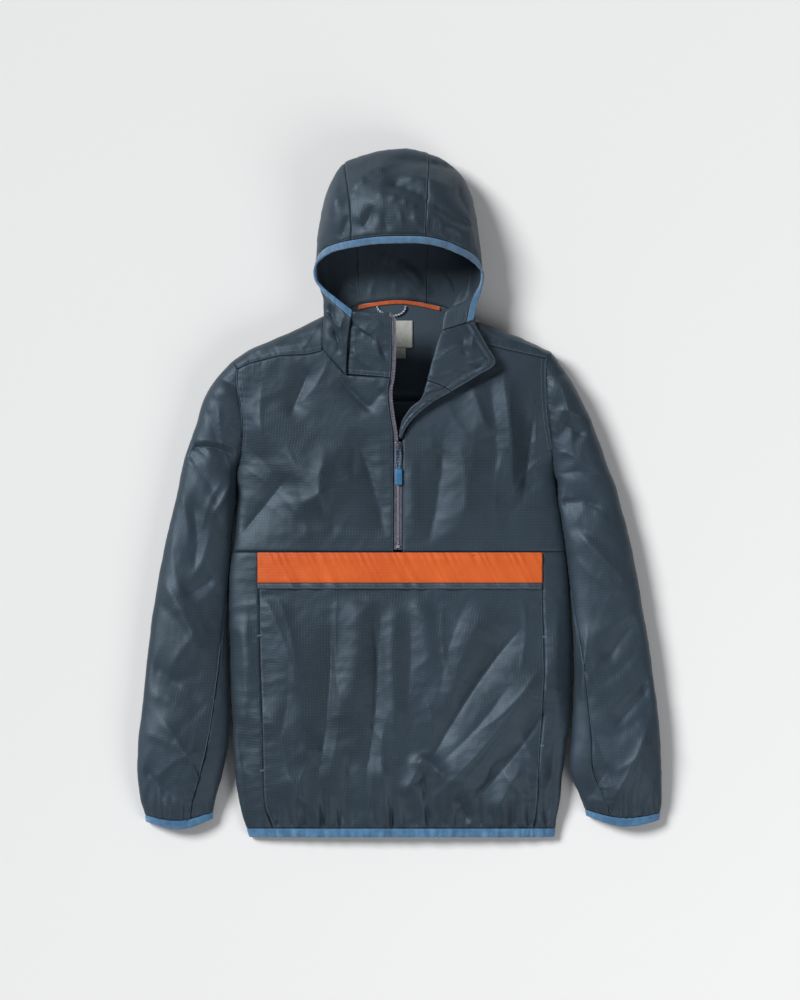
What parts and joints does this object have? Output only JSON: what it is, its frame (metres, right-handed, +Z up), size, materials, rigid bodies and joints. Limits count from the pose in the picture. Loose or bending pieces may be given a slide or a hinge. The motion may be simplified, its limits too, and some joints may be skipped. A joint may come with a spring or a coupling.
{
  "type": "hooded half-zip anorak pullover",
  "caption": "Hooded half-zip anorak laid flat on its back, open zip with one front edge turned out, stretch-bound hood, cuffs and hem, banded front pocket flap.",
  "frame": {"origin": "middle of the garment's outline, on the surface that it lies on", "axes": "+X to the picture's right, +Y from the hem to the hood, +Z up from the surface, out of the garment's front"},
  "size_m": [0.7599, 0.9987, 0.1118],
  "materials": {
    "shell_cloth": "thin ripstop nylon with a soft satin sheen, slate blue-grey",
    "blue_binding": "matt stretch binding, sky blue",
    "orange_cloth": "thin ripstop nylon, burnt orange",
    "grey_strip": "thin nylon, grey-blue",
    "zip_tape": "woven zip tape, grey",
    "zip_metal": "dark plated metal",
    "zip_plastic": "moulded plastic, dark grey",
    "pale_cord": "twisted cord, pale blue and dark",
    "blue_grip": "moulded rubbery plastic, blue",
    "label": "plain woven label, off-white"
  },
  "bodies": {
    "garment": {"yoke_left": "shell_cloth", "yoke_right": "shell_cloth", "front_upper_left": "shell_cloth", "front_upper_right": "shell_cloth", "pocket_panel": "shell_cloth", "side_left": "shell_cloth", "side_right": "shell_cloth", "back_panel": "shell_cloth", "back_yoke": "shell_cloth", "sleeve_upper_left": "shell_cloth", "sleeve_under_left": "shell_cloth", "sleeve_upper_right": "shell_cloth", "sleeve_under_right": "shell_cloth", "hood_left": "shell_cloth", "hood_centre": "shell_cloth", "hood_right": "shell_cloth", "collar_left": "shell_cloth", "collar_right": "shell_cloth", "front_turned_right": "shell_cloth", "cuff_binding_left": "blue_binding", "cuff_binding_right": "blue_binding", "hem_binding": "blue_binding", "hood_binding": "blue_binding", "flap_band": "orange_cloth", "neck_tape": "orange_cloth", "flap_strip": "grey_strip", "zip_tape_left": "zip_tape", "zip_tape_right": "zip_tape", "zip_slider": "zip_metal", "zip_stop": "zip_plastic", "hang_loop": "pale_cord", "label_main": "label", "label_small": "label"},
    "pull": {"pull_cord": "pale_cord", "pull_grip": "blue_grip"}
  },
  "joints": [
    {"name": "pull_swing", "type": "hinge", "parent": "garment", "child": "pull", "pos_m": [-0.0024, 0.0644, 0.06575], "axis": [-1, 0, 0], "range_deg": [0, 150]}
  ]
}
